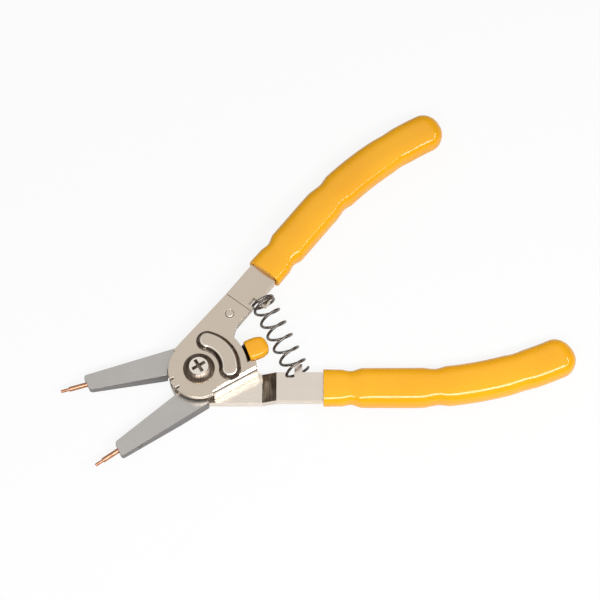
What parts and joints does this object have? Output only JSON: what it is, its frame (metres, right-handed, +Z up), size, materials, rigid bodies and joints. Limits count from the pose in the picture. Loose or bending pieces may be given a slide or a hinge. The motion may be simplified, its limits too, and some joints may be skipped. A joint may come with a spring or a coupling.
{
  "type": "retaining ring pliers",
  "caption": "Convertible retaining-ring pliers with laminated steel handles, yellow vinyl grips, a selector lever, a return spring and jaws with replaceable straight tips.",
  "frame": {"origin": "on the pivot axis, on the bottom face of the pivot barrel's head", "axes": "+X along the lower handle towards its grip, +Y towards the upper handle, +Z up the pivot axis towards the screw head"},
  "size_m": [0.1971, 0.1497, 0.0146],
  "materials": {
    "nickel_steel": "warm nickel plate, satin",
    "jaw_steel": "cast, satin plated",
    "dark_steel": "dark oiled",
    "spring_steel": "dark drawn wire",
    "copper_tip": "copper plated",
    "yellow_vinyl": "glossy dipped vinyl"
  },
  "bodies": {
    "upper_handle": {"cover_plate": "nickel_steel", "upper_handle_front": "nickel_steel", "upper_handle_back": "nickel_steel", "cover_rivet": "nickel_steel", "upper_handle_rivets": "nickel_steel", "upper_grip": "yellow_vinyl", "pivot_barrel": "nickel_steel", "pivot_screw": "nickel_steel", "handle_spring": "spring_steel"},
    "lower_handle": {"lower_handle_front": "nickel_steel", "lower_handle_back": "nickel_steel", "lower_handle_rivets": "nickel_steel", "lower_grip": "yellow_vinyl", "jaw_drive_pin": "dark_steel"},
    "upper_jaw": {"upper_jaw": "jaw_steel", "upper_tip": "copper_tip", "upper_tip_screw": "dark_steel"},
    "lower_jaw": {"lower_jaw": "jaw_steel", "lower_tip": "copper_tip", "lower_tip_screw": "dark_steel"},
    "selector": {"selector_plate": "dark_steel", "selector_cap": "yellow_vinyl", "selector_pin": "dark_steel"}
  },
  "joints": [
    {"name": "handle_squeeze", "type": "hinge", "parent": "upper_handle", "child": "lower_handle", "pos_m": [0, 0, 0.005], "axis": [0, 0, 1], "range_deg": [0, 20], "stiffness_Nm_per_rad": 0.6, "springref_deg": -20.05, "deforming": ["handle_spring"]},
    {"name": "upper_jaw_drive", "type": "hinge", "parent": "upper_handle", "child": "upper_jaw", "pos_m": [0, 0, 0.005], "axis": [0, 0, 1], "range_deg": [0, 20]},
    {"name": "lower_jaw_swing", "type": "hinge", "parent": "upper_handle", "child": "lower_jaw", "pos_m": [0, 0, 0.005], "axis": [0, 0, 1], "range_deg": [-7, 0]},
    {"name": "selector_swing", "type": "hinge", "parent": "upper_handle", "child": "selector", "pos_m": [0, 0, 0.005], "axis": [0, 0, 1], "range_deg": [0, 7]}
  ],
  "couplings": [
    {"joint": "upper_jaw_drive", "follows": "handle_squeeze", "ratio": 1}
  ]
}
